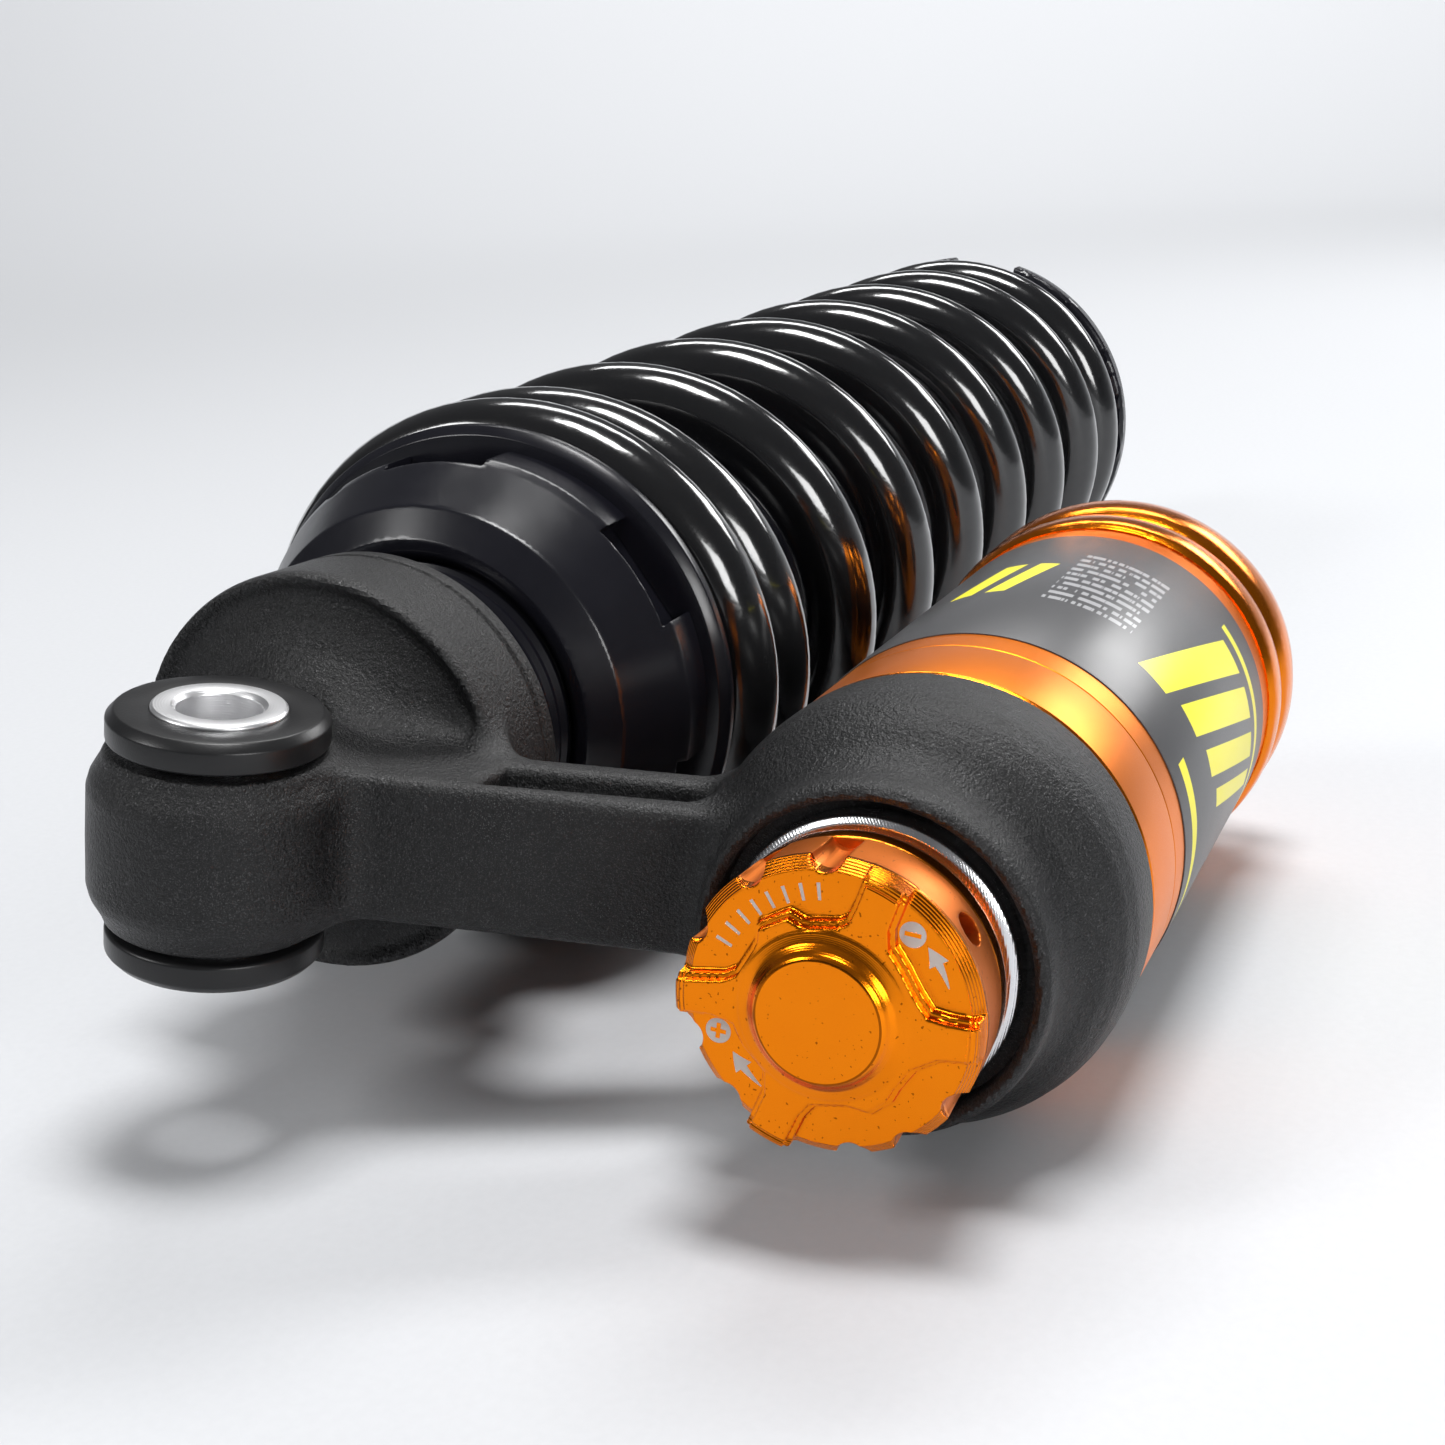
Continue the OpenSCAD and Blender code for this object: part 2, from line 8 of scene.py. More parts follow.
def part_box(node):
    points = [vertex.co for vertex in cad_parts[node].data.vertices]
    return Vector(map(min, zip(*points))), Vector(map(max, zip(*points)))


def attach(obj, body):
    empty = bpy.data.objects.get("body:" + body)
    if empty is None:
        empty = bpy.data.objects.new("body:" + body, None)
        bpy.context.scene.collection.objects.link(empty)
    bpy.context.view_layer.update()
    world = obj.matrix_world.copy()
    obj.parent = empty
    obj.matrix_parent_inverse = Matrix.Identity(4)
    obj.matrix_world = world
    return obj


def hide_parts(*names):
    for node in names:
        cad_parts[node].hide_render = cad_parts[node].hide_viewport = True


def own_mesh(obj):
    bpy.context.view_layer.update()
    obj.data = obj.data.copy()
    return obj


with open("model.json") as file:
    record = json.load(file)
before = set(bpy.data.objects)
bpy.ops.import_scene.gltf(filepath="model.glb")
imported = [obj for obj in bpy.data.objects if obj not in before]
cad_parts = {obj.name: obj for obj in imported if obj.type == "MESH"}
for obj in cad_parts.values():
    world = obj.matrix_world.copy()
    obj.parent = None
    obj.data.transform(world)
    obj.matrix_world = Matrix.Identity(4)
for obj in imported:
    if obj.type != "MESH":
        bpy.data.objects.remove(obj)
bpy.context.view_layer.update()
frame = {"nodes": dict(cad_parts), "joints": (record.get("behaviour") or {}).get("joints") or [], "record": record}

scene = bpy.context.scene
mm = 0.001


def span(node):  # lowest and highest corner of a CAD node, in millimetres
    low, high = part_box(node)
    return np.array(low) / mm, np.array(high) / mm


def middle(node, axis):
    low, high = span(node)
    return float(low[axis] + high[axis]) / 2


reservoirY = middle("reservoir_tube", 1)
lowerEyeX = middle("lower_sleeve", 0)
springStart, springEnd = (float(corner[0]) for corner in span("spring"))
print("frame loaded:", len(frame["nodes"]), "nodes, lower eye at", round(lowerEyeX, 1), "mm")


class Wire:  # one shader socket that takes part in plain expressions
    def __init__(self, finish, socket):
        self.finish, self.socket = finish, socket

    def maths(self, how, *values):
        return self.finish.node("ShaderNodeMath", {"operation": how}, dict(enumerate(values)))

    def __add__(self, other):
        return self.maths("ADD", self, other)

    def __sub__(self, other):
        return self.maths("SUBTRACT", self, other)

    def __rsub__(self, other):
        return self.maths("SUBTRACT", other, self)

    def __mul__(self, other):
        return self.maths("MULTIPLY", self, other)

    def __truediv__(self, other):
        return self.maths("DIVIDE", self, other)

    def __pow__(self, other):
        return self.maths("POWER", self, other)

    def __gt__(self, other):
        return self.maths("GREATER_THAN", self, other)

    def __lt__(self, other):
        return self.maths("LESS_THAN", self, other)

    __radd__ = __add__
    __rmul__ = __mul__

    def wave(self):
        return self.maths("SINE", self)

    def size(self):
        return self.maths("ABSOLUTE", self)

    def part(self):  # what is left after the whole number
        return self.maths("FRACT", self)

    def both(self, other):
        return self.maths("MINIMUM", self, other)

    def either(self, other):
        return self.maths("MAXIMUM", self, other)

    def within(self, low, high):
        return (self > low).both(self < high)


class Finish:  # one material and the nodes that make it
    def __init__(self, name):
        self.material = bpy.data.materials.new(name)
        self.material.use_nodes = True
        self.tree = self.material.node_tree
        self.shader = self.tree.nodes["Principled BSDF"]
        self.place = self.node("ShaderNodeTexCoord", out="Object")
        parts = self.node("ShaderNodeSeparateXYZ", {}, {0: self.place}).socket.node
        self.x, self.y, self.z = (Wire(self, s) * (1 / mm) for s in parts.outputs)  # in millimetres

    def node(self, kind, settings=None, sockets=None, out=0):
        made = self.tree.nodes.new(kind)
        for key, value in (settings or {}).items():
            setattr(made, key, value)
        for key, value in (sockets or {}).items():
            self.plug(made.inputs[key], value)
        return Wire(self, made.outputs[out])

    def plug(self, socket, value):
        if isinstance(value, Wire):
            self.tree.links.new(value.socket, socket)
        elif isinstance(value, tuple) and len(value) == 3 and socket.type == "RGBA":
            socket.default_value = (*value, 1)
        else:
            socket.default_value = value

    def noise(self, grain, detail=2.0):  # grain is the size of a lump in millimetres
        return self.node("ShaderNodeTexNoise", {}, {"Vector": self.place, "Scale": 1 / (grain * mm),
                                                    "Detail": detail, "Roughness": 0.55})

    def mix(self, mask, first, second):
        return self.node("ShaderNodeMix", {"data_type": "RGBA"}, {0: mask, 6: first, 7: second}, out=2)

    def bump(self, height, depth):  # depth in millimetres
        return self.node("ShaderNodeBump", {}, {"Height": height, "Distance": depth * mm, "Strength": 1.0})

    def around(self, centreY):  # radius and angle about a line along X
        across, up = self.y - centreY, self.z
        angle = self.node("ShaderNodeMath", {"operation": "ARCTAN2"}, {0: up, 1: across * -1.0})
        return (across * across + up * up) ** 0.5, angle * (180 / math.pi)

    def done(self, **sockets):
        socketNames = {"colour": "Base Color", "roughness": "Roughness", "metal": "Metallic",
                       "normal": "Normal", "coat": "Coat Weight", "coatRoughness": "Coat Roughness",
                       "shine": "Specular IOR Level"}
        for key, value in sockets.items():
            self.plug(self.shader.inputs[socketNames[key]], value)
        return self.material


# the lighter grey for the casting's specks is a painted glint colour, standing in for sparkling highlights
castLook = dict(colour=(0.005, 0.005, 0.0053), paintedGlint=(0.07, 0.07, 0.072), roughness=0.42, shine=0.32,
                lumps=0.42, grain=0.2, blotch=9.0, speck=0.14, speckFrom=0.63, depth=0.26)


def castBlack():  # fine textured black coat on the casting, with lighter specks that are painted glints
    look, f = castLook, Finish("cast_black")
    lumps, fine = f.noise(look["lumps"], 3.0), f.noise(look["grain"], 2.0)
    blotch = f.noise(look["blotch"], 3.0)
    speck = f.noise(look["speck"], 1.0) > look["speckFrom"]
    # specks take the lighter grey, a painted glint, and are also made glossier
    return f.done(colour=f.mix(speck * 0.8, look["colour"], look["paintedGlint"]),
                  roughness=look["roughness"] + (blotch - 0.5) * 0.14 - speck * 0.16,
                  normal=f.bump(lumps * 0.75 + fine * 0.4, look["depth"]), shine=look["shine"])


def smoothBlack(name, colour, roughness, grain, depth, shine):
    f = Finish(name)
    cloud, fine = f.noise(6.0, 3.0), f.noise(grain, 2.0)
    return f.done(colour=f.mix(cloud, colour, tuple(c * 1.5 for c in colour)),
                  roughness=roughness + (cloud - 0.5) * 0.12, normal=f.bump(fine, depth), shine=shine)


def turnedMetal(name, colour, roughness, pitch, depth, upright=None):
    # metal with fine turning marks, round the damper's axis, or round an upright eye at X = upright
    f = Finish(name)
    if upright is None:
        radius, _ = f.around(0.0)
        along = f.x
    else:
        shift = f.x - upright
        radius, along = (shift * shift + f.y * f.y) ** 0.5, f.z
    cloud = f.noise(3.0, 3.0)
    marks = ((radius + along) * (2 * math.pi / pitch) + cloud * 3.0).wave()
    fine = f.noise(0.12, 1.0)
    return f.done(colour=f.mix(cloud * 0.35, colour, tuple(c * 0.72 for c in colour)), metal=1.0,
                  roughness=roughness + (fine - 0.5) * 0.12 + (cloud - 0.5) * 0.08,
                  normal=f.bump(marks * 0.5 + fine, depth))


orangeLook = dict(colour=(0.90, 0.235, 0.006), deep=(0.80, 0.16, 0.003), satin=0.36, bright=0.2,
                  grain=0.14, cloud=7.0, ringPitch=0.35, depth=0.012, satinFrom=27.45, satinTo=96.5)


def satinOrange():  # blasted, then anodised; the cut edges and the cap are left bright
    look, f = orangeLook, Finish("orange_satin")
    fine, cloud = f.noise(look["grain"], 2.0), f.noise(look["cloud"], 3.0)
    rings = (f.x * (2 * math.pi / look["ringPitch"])).wave()
    polished = (f.x < look["satinFrom"]).either(f.x > look["satinTo"])
    return f.done(colour=f.mix(cloud * 0.4, look["colour"], look["deep"]), metal=1.0,
                  roughness=look["satin"] + (fine - 0.5) * 0.15 - polished * 0.18,
                  normal=f.bump(fine + rings * 0.12, look["depth"]))


dialLook = dict(
    ticks=(100.0, 166.0), tickStep=8.25, tickShare=0.2, tickBand=(9.75, 11.3),  # angles, then radii
    plus=(10.53, 205.4), minus=(10.66, 53.1), mark=1.15, barHalf=0.2, barReach=0.72,
    arrows=((10.05, 228.0, -1.0), (11.0, 35.0, 1.0)),  # radius, angle and way round
    floor=(-4.75, -4.1), ridgeBand=(12.45, 13.7), ridgeFace=-3.3, ridgePitch=0.4,
    ring=(5.42, 5.62), ringFace=-7.0, ringPitch=0.16, rim=(-2.9, 2.2), rimFrom=11.0, nickFrom=0.79,
    depth=0.012,
    etched=(0.55, 0.50, 0.47), groove=(0.22, 0.05, 0.002), wall=(0.60, 0.16, 0.04))


def dialMarks(f, radius, angle):  # ticks, plus, minus and two arrows, etched on the pocket floors
    look = dialLook
    across, up = (f.y - reservoirY) * -1.0, f.z
    turned = angle + (angle < 0.0) * 360.0
    share = ((turned - look["ticks"][0]) / look["tickStep"]).part()
    marks = radius.within(*look["tickBand"]).both(share < look["tickShare"])
    marks = marks.both(turned.within(*look["ticks"]))
    for kind in ("plus", "minus"):
        reach, at = look[kind]
        u = across - reach * math.cos(math.radians(at))
        v = up - reach * math.sin(math.radians(at))
        disc = (u * u + v * v) ** 0.5 < look["mark"]
        bar = (v.size() < look["barHalf"]).both(u.size() < look["barReach"])
        if kind == "plus":
            bar = bar.either((u.size() < look["barHalf"]).both(v.size() < look["barReach"]))
        marks = marks.either(disc.both(1.0 - bar))
    for reach, at, way in look["arrows"]:  # a head and a tapering tail, bent round the dial
        along = (turned - at) * (way * math.pi / 180 * reach)
        off = (radius - reach).size()
        head = along.within(0.2, 1.9).both(off < (1.9 - along) * 0.55)
        tail = along.within(-2.0, 0.25).both(off < (along + 2.4) * 0.14)
        marks = marks.either(head).either(tail)
    return marks.both(f.x.within(*look["floor"]))


def dialOrange():  # machined dial face with etched marks in its pockets
    look, f = dialLook, Finish("orange_dial")
    radius, angle = f.around(reservoirY)
    marks = dialMarks(f, radius, angle)
    fine, cloud, speckle = f.noise(0.1, 2.0), f.noise(4.0, 3.0), f.noise(0.16, 1.0)
    ridges = radius.within(*look["ridgeBand"]).both(f.x < look["ridgeFace"])
    rings = (radius * (2 * math.pi / look["ringPitch"]) + cloud * 2.0).wave() * 0.18
    grooves = ((radius + f.x) * (2 * math.pi / look["ridgePitch"])).wave() * ridges * 4.0
    nicks = f.noise(0.32, 0.0) > look["nickFrom"]
    ring = radius.within(*look["ring"]).both(f.x < look["ringFace"])
    rim = f.x.within(*look["rim"]).both(radius > look["rimFrom"])
    colour = f.mix(cloud * 0.3, orangeLook["colour"], orangeLook["deep"])
    colour = f.mix(ring.either(nicks) * 0.8, colour, look["groove"])
    colour = f.mix(rim * 0.6, colour, look["wall"])
    roughness = orangeLook["bright"] + (fine - 0.5) * 0.1 + marks * (0.3 + speckle * 0.1) + rim * 0.2
    return f.done(colour=f.mix(marks, colour, look["etched"]), metal=1.0 - marks * 0.7, roughness=roughness,
                  normal=f.bump(fine * 0.5 + rings + grooves - marks * speckle * 2.0, look["depth"]))


labelLook = dict(
    ground=(0.055, 0.055, 0.058), yellow=(0.86, 0.78, 0.02), small=(0.34, 0.34, 0.35),
    roughness=0.34, depth=0.008, shine=0.6, slant=0.55, slantAt=66.0,
    bars=((39.0, 50.5, 54.0, 83.0), (24.5, 34.5, 56.0, 83.0), (12.0, 20.0, 58.0, 83.0),  # angles, then X
          (2.5, 8.0, 60.0, 83.0), (112.0, 119.0, 62.0, 76.0), (102.0, 108.0, 62.0, 76.0)),
    nearRule=(46.0, 48.6), nearArc=(-34.0, 30.0), nearTaper=(40.0, 0.05),
    farRule=(85.4, 87.0), farArc=(-34.0, 44.0),
    rows=(60.0, 83.0), rowArc=(64.0, 92.0), rowPitch=2.3, dashFrom=0.44)


def labelFilm():  # dark film with plain slanted bars, two rules and rows of dashes
    look, f = labelLook, Finish("label_film")
    _, angle = f.around(reservoirY)
    x = f.x
    lean = angle + (x - look["slantAt"]) * look["slant"]
    yellow = x.within(*look["farRule"]).both(angle.within(*look["farArc"]))
    nearStart, (taperFrom, taper) = look["nearRule"][0], look["nearTaper"]
    nearRule = x.within(*look["nearRule"]).both(angle.within(*look["nearArc"]))
    yellow = yellow.either(nearRule.both(x - nearStart < (angle + taperFrom) * taper))
    for low, high, start, stop in look["bars"]:
        yellow = yellow.either(lean.within(low, high).both(x.within(start, stop)))
    row = ((x - look["rows"][0]) / look["rowPitch"]).part()
    places = f.node("ShaderNodeCombineXYZ", {}, {0: (x / look["rowPitch"] - row) * 7.0, 1: angle * 0.35})
    ink = f.node("ShaderNodeTexNoise", {"noise_dimensions": "2D"}, {"Vector": places, "Scale": 1.6})
    dashes = (row < 0.5).both(ink > look["dashFrom"]).both(x.within(*look["rows"]))
    dashes = dashes.both(angle.within(*look["rowArc"]))
    fine, cloud = f.noise(0.15, 2.0), f.noise(9.0, 2.0)
    colour = f.mix(dashes, look["ground"], look["small"])
    return f.done(colour=f.mix(yellow, colour, look["yellow"]), metal=0.0,
                  roughness=look["roughness"] + (fine - 0.5) * 0.1 + (cloud - 0.5) * 0.05,
                  normal=f.bump(fine, look["depth"]), shine=look["shine"])


enamelLook = dict(colour=(0.004, 0.004, 0.0045), dusty=(0.012, 0.012, 0.013), roughness=0.16, peel=1.6,
                  dust=0.2, depth=0.03, coat=0.5, coatRoughness=0.06, shine=0.55)


def springBlack():  # gloss enamel with a slight orange peel
    look, f = enamelLook, Finish("spring_enamel")
    peel, dust = f.noise(look["peel"], 2.0), f.noise(look["dust"], 2.0)
    return f.done(colour=f.mix(dust * 0.4, look["colour"], look["dusty"]),
                  roughness=look["roughness"] + (dust - 0.5) * 0.1, normal=f.bump(peel, look["depth"]),
                  coat=look["coat"] + peel * 0.3, coatRoughness=look["coatRoughness"], shine=look["shine"])


def speckled(name, colour, second, roughness, grain, depth):  # rubber, foam and bearing liners
    f = Finish(name)
    cells, cloud = f.noise(grain, 2.0), f.noise(grain * 12, 2.0)
    return f.done(colour=f.mix(cells, colour, second), roughness=roughness + (cloud - 0.5) * 0.1,
                  normal=f.bump(cells, depth))


finishes = {
    "cast": castBlack(),
    "steel": turnedMetal("turned_steel", (0.74, 0.74, 0.76), 0.24, 0.3, 0.01),
    "bush": speckled("bearing_liner", (0.20, 0.16, 0.10), (0.34, 0.28, 0.18), 0.5, 0.3, 0.02),
    "cover": smoothBlack("cover_black", (0.008, 0.008, 0.0085), 0.33, 0.25, 0.012, 0.35),
    "rubber": speckled("rubber", (0.008, 0.008, 0.008), (0.016, 0.016, 0.016), 0.6, 0.2, 0.015),
    "black_aluminium": smoothBlack("black_anodised", (0.005, 0.005, 0.0075), 0.24, 0.12, 0.006, 0.4),
    "spring_black": springBlack(),
    "orange": satinOrange(),
    "label": labelFilm(),
    "aluminium": turnedMetal("turned_aluminium", (0.72, 0.72, 0.74), 0.32, 0.4, 0.01),
    "brass": turnedMetal("turned_brass", (0.70, 0.50, 0.22), 0.3, 0.3, 0.01),
    "foam": speckled("bump_foam", (0.62, 0.55, 0.36), (0.72, 0.65, 0.46), 0.75, 0.35, 0.05),
    "band": speckled("wear_band", (0.16, 0.09, 0.04), (0.24, 0.14, 0.07), 0.5, 0.25, 0.01),
    "red": turnedMetal("red_anodised", (0.55, 0.02, 0.015), 0.28, 0.35, 0.01),
    "shaft_steel": turnedMetal("hard_chrome", (0.62, 0.62, 0.64), 0.1, 0.2, 0.002),
}
sleeveSteel = {"upper": turnedMetal("sleeve_upper", (0.84, 0.84, 0.85), 0.36, 0.26, 0.006, upright=0.0),
               "lower": turnedMetal("sleeve_lower", (0.84, 0.84, 0.85), 0.36, 0.26, 0.006, upright=lowerEyeX)}
dialFinish = dialOrange()
print("finishes made:", len(bpy.data.materials))

# CAD nodes that keep their own shape take their slot's finish
slotOf = {part["node"]: part["material_slot"] for part in frame["record"]["subparts"]}
for nodeName, node in frame["nodes"].items():
    node.data.materials.clear()
    node.data.materials.append(finishes[slotOf[nodeName]])


creaseAngle = 40  # faces that meet more sharply than this show an edge


def build(name, points, faces, finish, body, slot, node):  # a piece that stands for a CAD node
    points = np.asarray(points, float) * mm
    mesh = bpy.data.meshes.new(name)
    mesh.from_pydata(points.tolist(), [], [list(map(int, face)) for face in faces])
    piece = bpy.data.objects.new(name, mesh)
    scene.collection.objects.link(piece)
    mesh.shade_smooth()
    mesh.set_sharp_from_angle(angle=math.radians(creaseAngle))
    mesh.materials.append(finish)
    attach(piece, body)
    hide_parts(node)
    return piece


def softened(profile, size, steps=3):  # rounds the corners of a closed outline
    points, out = [Vector(p) for p in profile], []
    for i, p in enumerate(points):
        back, ahead = points[i - 1] - p, points[(i + 1) % len(points)] - p
        start = p + back.normalized() * min(size, back.length * 0.45)
        end = p + ahead.normalized() * min(size, ahead.length * 0.45)
        for k in range(steps + 1):
            t = k / steps
            out.append(start * (1 - t) ** 2 + p * (2 * t * (1 - t)) + end * t * t)
    return [(max(p[0], 0.0), p[1]) for p in out]


def outward(points, faces):  # turns every face over if the shape is inside out
    a, b, c, d = (points[faces[:, k]] for k in range(4))
    volume = np.einsum("ij,ij->i", a, np.cross(b, c)).sum() + np.einsum("ij,ij->i", a, np.cross(c, d)).sum()
    return points, (faces if volume > 0 else faces[:, ::-1])


def turnRound(profile, count, centre=(0, 0), axis="x"):
    # a closed outline of (radius, along) turned about a line along X or Z through centre
    rows = len(profile)
    turn = np.linspace(0, 2 * math.pi, count, endpoint=False)
    radius, along = (np.array([p[k] for p in profile])[:, None] for k in (0, 1))
    a, b, c = radius * np.cos(turn), radius * np.sin(turn), along + 0 * turn
    if axis == "x":
        points = np.stack([c, centre[0] + a, centre[1] + b], -1).reshape(-1, 3)
    else:
        points = np.stack([centre[0] + a, centre[1] + b, c], -1).reshape(-1, 3)
    i, k = np.meshgrid(np.arange(rows), np.arange(count), indexing="ij")
    j, n = (i + 1) % rows, (k + 1) % count
    faces = np.stack([i * count + k, j * count + k, j * count + n, i * count + n], -1).reshape(-1, 4)
    return outward(points, faces)


def joined(*shapes):
    points, faces, count = [], [], 0
    for p, f in shapes:
        points.append(p)
        faces.append(np.asarray(f) + count)
        count += len(p)
    return np.concatenate(points), np.concatenate(faces)


# Distances in millimetres, negative inside a shape
def meet(first, second, soft=0.0):  # both shapes together, with a fillet of about soft
    if soft <= 0:
        return np.minimum(first, second)
    share = np.clip(0.5 + 0.5 * (second - first) / soft, 0, 1)
    return second + (first - second) * share - soft * share * (1 - share)


def common(first, second, soft=0.0):
    return -meet(-first, -second, soft)


def cut(first, tool, soft=0.0):
    return common(first, -tool, soft)


def outline(u, v, corners):  # distance to a closed outline
    nearest, inside = None, False
    for (ax, ay), (bx, by) in zip(corners, corners[1:] + corners[:1]):
        ex, ey = bx - ax, by - ay
        wx, wy = u - ax, v - ay
        t = np.clip((wx * ex + wy * ey) / (ex * ex + ey * ey), 0, 1)
        gap = (wx - ex * t) ** 2 + (wy - ey * t) ** 2
        nearest = gap if nearest is None else np.minimum(nearest, gap)
        crossing = ((ay > v) != (by > v)) & (u < ax + ex * (v - ay) / (ey or 1e-9))
        inside = inside ^ crossing
    return np.where(inside, -1.0, 1.0) * np.sqrt(nearest)


def slab(v, low, high):
    return np.maximum(low - v, v - high)


def spoke(u, v, degrees):  # distance out along a spoke at this angle, and to its side
    turn = math.radians(degrees)
    return u * math.cos(turn) + v * math.sin(turn), -u * math.sin(turn) + v * math.cos(turn)


def awayFrom(u, v, reach, degrees):  # distance to a line at this angle and radius
    turn = math.radians(degrees)
    return np.hypot(u - reach * math.cos(turn), v - reach * math.sin(turn))


nudge, pullHome, slack = 0.01, 0.02, 0.05  # slope step in mm, hold on flat faces, room past a cell


def skin(field, low, high, cell):
    # covers the zero surface of a distance field with four-sided faces; each corner sits where
    # the flats through its cell meet, so edges stay crisp
    low = np.array(low, float)
    axes = [np.arange(low[k], high[k] + cell, cell) for k in range(3)]
    value = field(axes[0][:, None, None], axes[1][None, :, None], axes[2][None, None, :])
    value = np.broadcast_to(value, [len(a) for a in axes])
    inside = value < 0
    shape = np.array(value.shape) - 1
    corner = [(i, j, k) for i in (0, 1) for j in (0, 1) for k in (0, 1)]
    held = sum(inside[i:i + shape[0], j:j + shape[1], k:k + shape[2]].astype(np.int8)
               for i, j, k in corner)
    cells = np.argwhere((held > 0) & (held < 8))
    number = np.full(shape, -1)
    number[tuple(cells.T)] = np.arange(len(cells))
    count, centre = np.zeros(len(cells)), np.zeros((len(cells), 3))
    pull, target = np.zeros((len(cells), 3, 3)), np.zeros((len(cells), 3))
    faces = []
    for d in range(3):
        e, g = (d + 1) % 3, (d + 2) % 3
        first = np.take(inside, range(shape[d]), axis=d)
        edge = np.argwhere(first != np.take(inside, range(1, shape[d] + 1), axis=d))
        edge = edge[(edge[:, e] > 0) & (edge[:, g] > 0) & (edge[:, e] < shape[e]) & (edge[:, g] < shape[g])]
        step = np.eye(3, dtype=int)[d]
        near, far = value[tuple(edge.T)], value[tuple((edge + step).T)]
        point = low + cell * (edge + (near / (near - far))[:, None] * step)
        here = field(*point.T)
        slope = np.stack([field(*(point + nudge * np.eye(3)[k]).T) - here for k in range(3)], 1)
        slope /= np.maximum(np.linalg.norm(slope, axis=1), 1e-9)[:, None]
        point = point - np.clip(here, -cell, cell)[:, None] * slope
        ring = []
        for de, dg in ((-1, -1), (0, -1), (0, 0), (-1, 0)):
            q = edge.copy()
            q[:, e] += de
            q[:, g] += dg
            ring.append(number[tuple(q.T)])
            np.add.at(count, ring[-1], 1)
            np.add.at(centre, ring[-1], point)
            np.add.at(pull, ring[-1], slope[:, :, None] * slope[:, None, :])
            np.add.at(target, ring[-1], slope * (slope * point).sum(1)[:, None])
        ring = np.stack(ring, 1)
        backward = ~first[tuple(edge.T)]
        ring[backward] = ring[backward][:, ::-1]
        faces.append(ring)
    centre /= count[:, None]
    rest = target - (pull @ centre[:, :, None])[:, :, 0]
    hold = pullHome * count[:, None, None] * np.eye(3)
    shift = np.linalg.solve(pull + hold, rest[:, :, None])[:, :, 0]
    corners = low + cell * cells
    points = np.clip(centre + shift, corners - slack * cell, corners + (1 + slack) * cell)
    return points, np.concatenate(faces)


eyeOutline = [(0, -9), (9.8, -9), (10.3, -8.9), (10.6, -8.4), (10.75, -7.6), (11.7, -5.9), (12.0, -4.8),
              (12.05, 0), (12.0, 4.8), (11.7, 5.9), (10.75, 7.6), (10.6, 8.4), (10.3, 8.9), (9.8, 9), (0, 9)]


def eyeBarrel(x, y, z):  # widest in the middle, with a sloped shoulder up to each dust cover
    return outline(np.hypot(x, y), z, eyeOutline)


headSize = dict(
    eyeHalf=9.0, bushRadius=7.35, tubeRadius=17.5, tubeFrom=22.0, headEnd=28.8, coverRadius=13.6,
    neckFillet=3.2, bridgeFillet=3.6, housingFillet=3.4, coverFillet=1.6,
    neck=[(0, 4), (8.2, 6), (8.8, 10), (10.6, 14.0), (13.6, 16.9), (16.8, 18.5), (18.7, 19.0), (19.5, 18.6),
          (20.2, 17.9), (20.75, 18.1), (21.0, 19.2), (20.6, 28.8), (0, 28.8)], neckEdge=0.7,
    rim=[(17.5, 28.8), (20.3, 28.8), (20.3, 29.3), (20.6, 29.45), (20.5, 31.3), (20.0, 31.7), (17.5, 31.7)],
    rimEdge=0.2,
    bridge=[(1, -6), (3.5, -14), (5.5, -20), (13.5, -45), (16, -52), (26, -52), (25, -43), (18, -24),
            (20, -16), (20, -4)], bridgeHalf=7.4, bridgeEdge=1.6,
    channel=[(9.2, -23), (17.6, -44), (20.4, -43), (13.6, -23.5)], channelGrow=0.3, webHalf=5.0,
    channelEdge=0.8, channelLip=1.2,
    housing=[(0, 6.6), (15.2, 5.8), (15.8, 5.6), (16.5, 6.2), (16.7, 7.6), (16.6, 9.6), (16.9, 11.5),
             (17.8, 13.4), (19.4, 15.2), (20.6, 17.4), (21.2, 20.0), (21.3, 22.5), (21.2, 26.75), (0, 26.75)],
    housingEdge=0.5, housingSide=-30, housingEnd=26.75,
    pocket=(15.0, 9.0), pocketLip=0.9, adjusterBore=11.0,  # radius, and the X of the floor
    reservoirSteps=((18.0, 20.0), (19.7, 22.0)), boreEdge=0.25)  # radius, and the X it starts at


def headField(x, y, z):
    s = headSize
    around, beside, fromEye = np.hypot(y, z), np.hypot(y - reservoirY, z), np.hypot(x, y)
    neck = outline(around, x, softened(s["neck"], s["neckEdge"]))
    bridge = common(outline(x, y, s["bridge"]), np.abs(z) - s["bridgeHalf"], s["bridgeEdge"])
    channel = outline(x, y, s["channel"]) - s["channelGrow"]
    channel = common(channel, s["webHalf"] - np.abs(z), s["channelEdge"])
    bridge = cut(bridge, channel, s["channelLip"])
    housing = outline(beside, x, softened(s["housing"], s["housingEdge"]))
    body = meet(eyeBarrel(x, y, z), neck, s["neckFillet"])
    body = meet(body, bridge, s["bridgeFillet"])
    body = meet(body, housing, s["housingFillet"])
    body = cut(body, common(fromEye - s["coverRadius"], s["eyeHalf"] - np.abs(z)), s["coverFillet"])
    housingCap = np.where(y < s["housingSide"], x - s["housingEnd"], -9.0)  # -9 leaves the rest alone
    body = common(body, np.maximum(x - s["headEnd"], housingCap))
    pocketRadius, pocketFloor = s["pocket"]
    body = cut(body, np.maximum(beside - pocketRadius, x - pocketFloor), s["pocketLip"])
    tools = fromEye - s["bushRadius"]
    tools = meet(tools, np.maximum(around - s["tubeRadius"], s["tubeFrom"] - x))
    tools = meet(tools, beside - s["adjusterBore"])
    for radius, start in s["reservoirSteps"]:
        tools = meet(tools, np.maximum(beside - radius, start - x))
    return cut(body, tools, s["boreEdge"])


